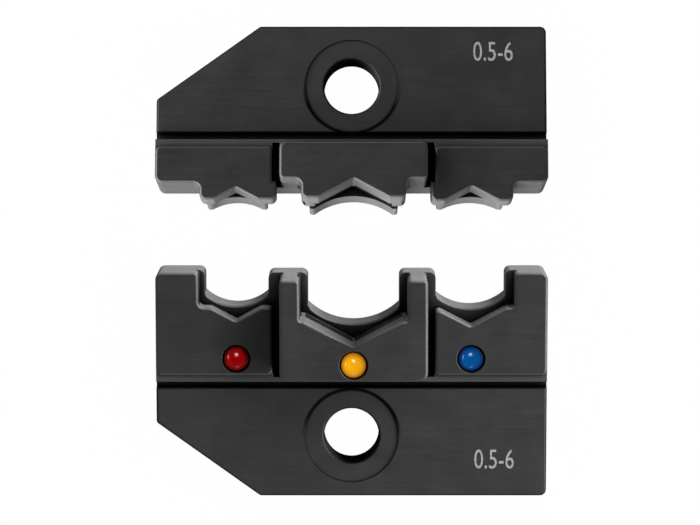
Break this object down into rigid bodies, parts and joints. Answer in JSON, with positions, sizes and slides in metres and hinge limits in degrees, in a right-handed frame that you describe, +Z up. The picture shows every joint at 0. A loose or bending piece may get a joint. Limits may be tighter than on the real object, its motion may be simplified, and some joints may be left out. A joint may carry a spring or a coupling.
{
  "type": "crimp die pair",
  "caption": "Crimp die pair for insulated cable terminals: lower die with stepped nests and colour markers, upper die with matching noses, screw bores.",
  "frame": {"origin": "on the table under the centre of the open pair, as the two dies lie on their backs", "axes": "+X along the width of both dies, +Y from the lower die towards the upper die, +Z up from the table towards the dies' front faces"},
  "size_m": [0.0392, 0.0472, 0.0113],
  "materials": {
    "black_steel": "black oxide, satin",
    "red_plastic": "gloss",
    "yellow_plastic": "gloss",
    "blue_plastic": "gloss"
  },
  "bodies": {
    "lower": {"lower_die": "black_steel", "marker_red": "red_plastic", "marker_yellow": "yellow_plastic", "marker_blue": "blue_plastic"},
    "upper": {"upper_die": "black_steel"}
  },
  "joints": [
    {"name": "crimp_stroke", "type": "hinge", "parent": "lower", "child": "upper", "pos_m": [0, 0, -0.02522], "axis": [1, 0, 0], "range_deg": [0, 15.06]}
  ]
}
